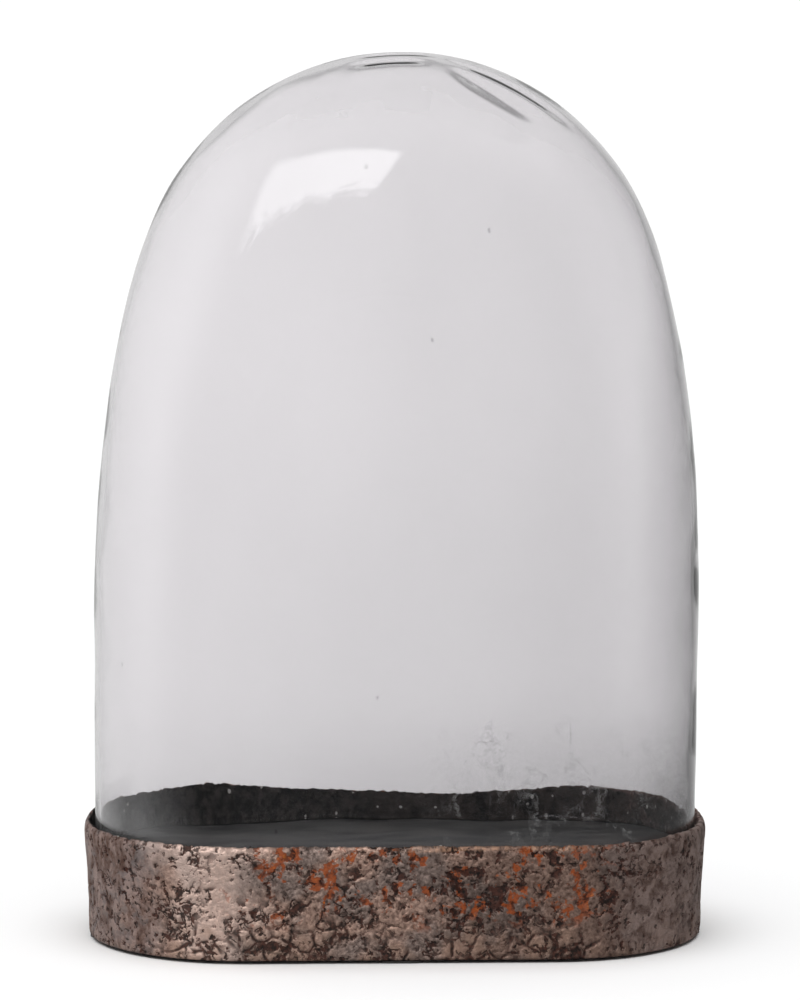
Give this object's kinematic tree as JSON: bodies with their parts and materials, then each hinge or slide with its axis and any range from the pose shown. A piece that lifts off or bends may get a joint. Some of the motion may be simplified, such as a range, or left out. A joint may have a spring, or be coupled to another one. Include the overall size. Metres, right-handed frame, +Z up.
{
  "type": "glass cloche",
  "caption": "Oval blown-glass cloche that lifts off a rough rusted tray with a recessed flat floor, for covering plants or displays.",
  "frame": {"origin": "centre of the face that the tray stands on", "axes": "+Z up; +X along the tray's length; the front faces -Y"},
  "size_m": [0.3, 0.155, 0.424],
  "materials": {
    "blown_glass": "gloss",
    "rusted_iron": "satin",
    "slate_panel": "satin",
    "adhesive": "matte",
    "felt": "matte"
  },
  "bodies": {
    "tray": {"tray_wall": "rusted_iron", "tray_floor": "slate_panel", "glue_bead": "adhesive", "foot_pad_front": "felt", "foot_pad_rear": "felt", "foot_pad_left": "felt", "foot_pad_right": "felt"},
    "dome": {"glass_dome": "blown_glass"}
  },
  "joints": [
    {"name": "dome_lift", "type": "slide", "parent": "tray", "child": "dome", "axis": [0, 0, 1], "range_m": [0, 0.4]}
  ]
}
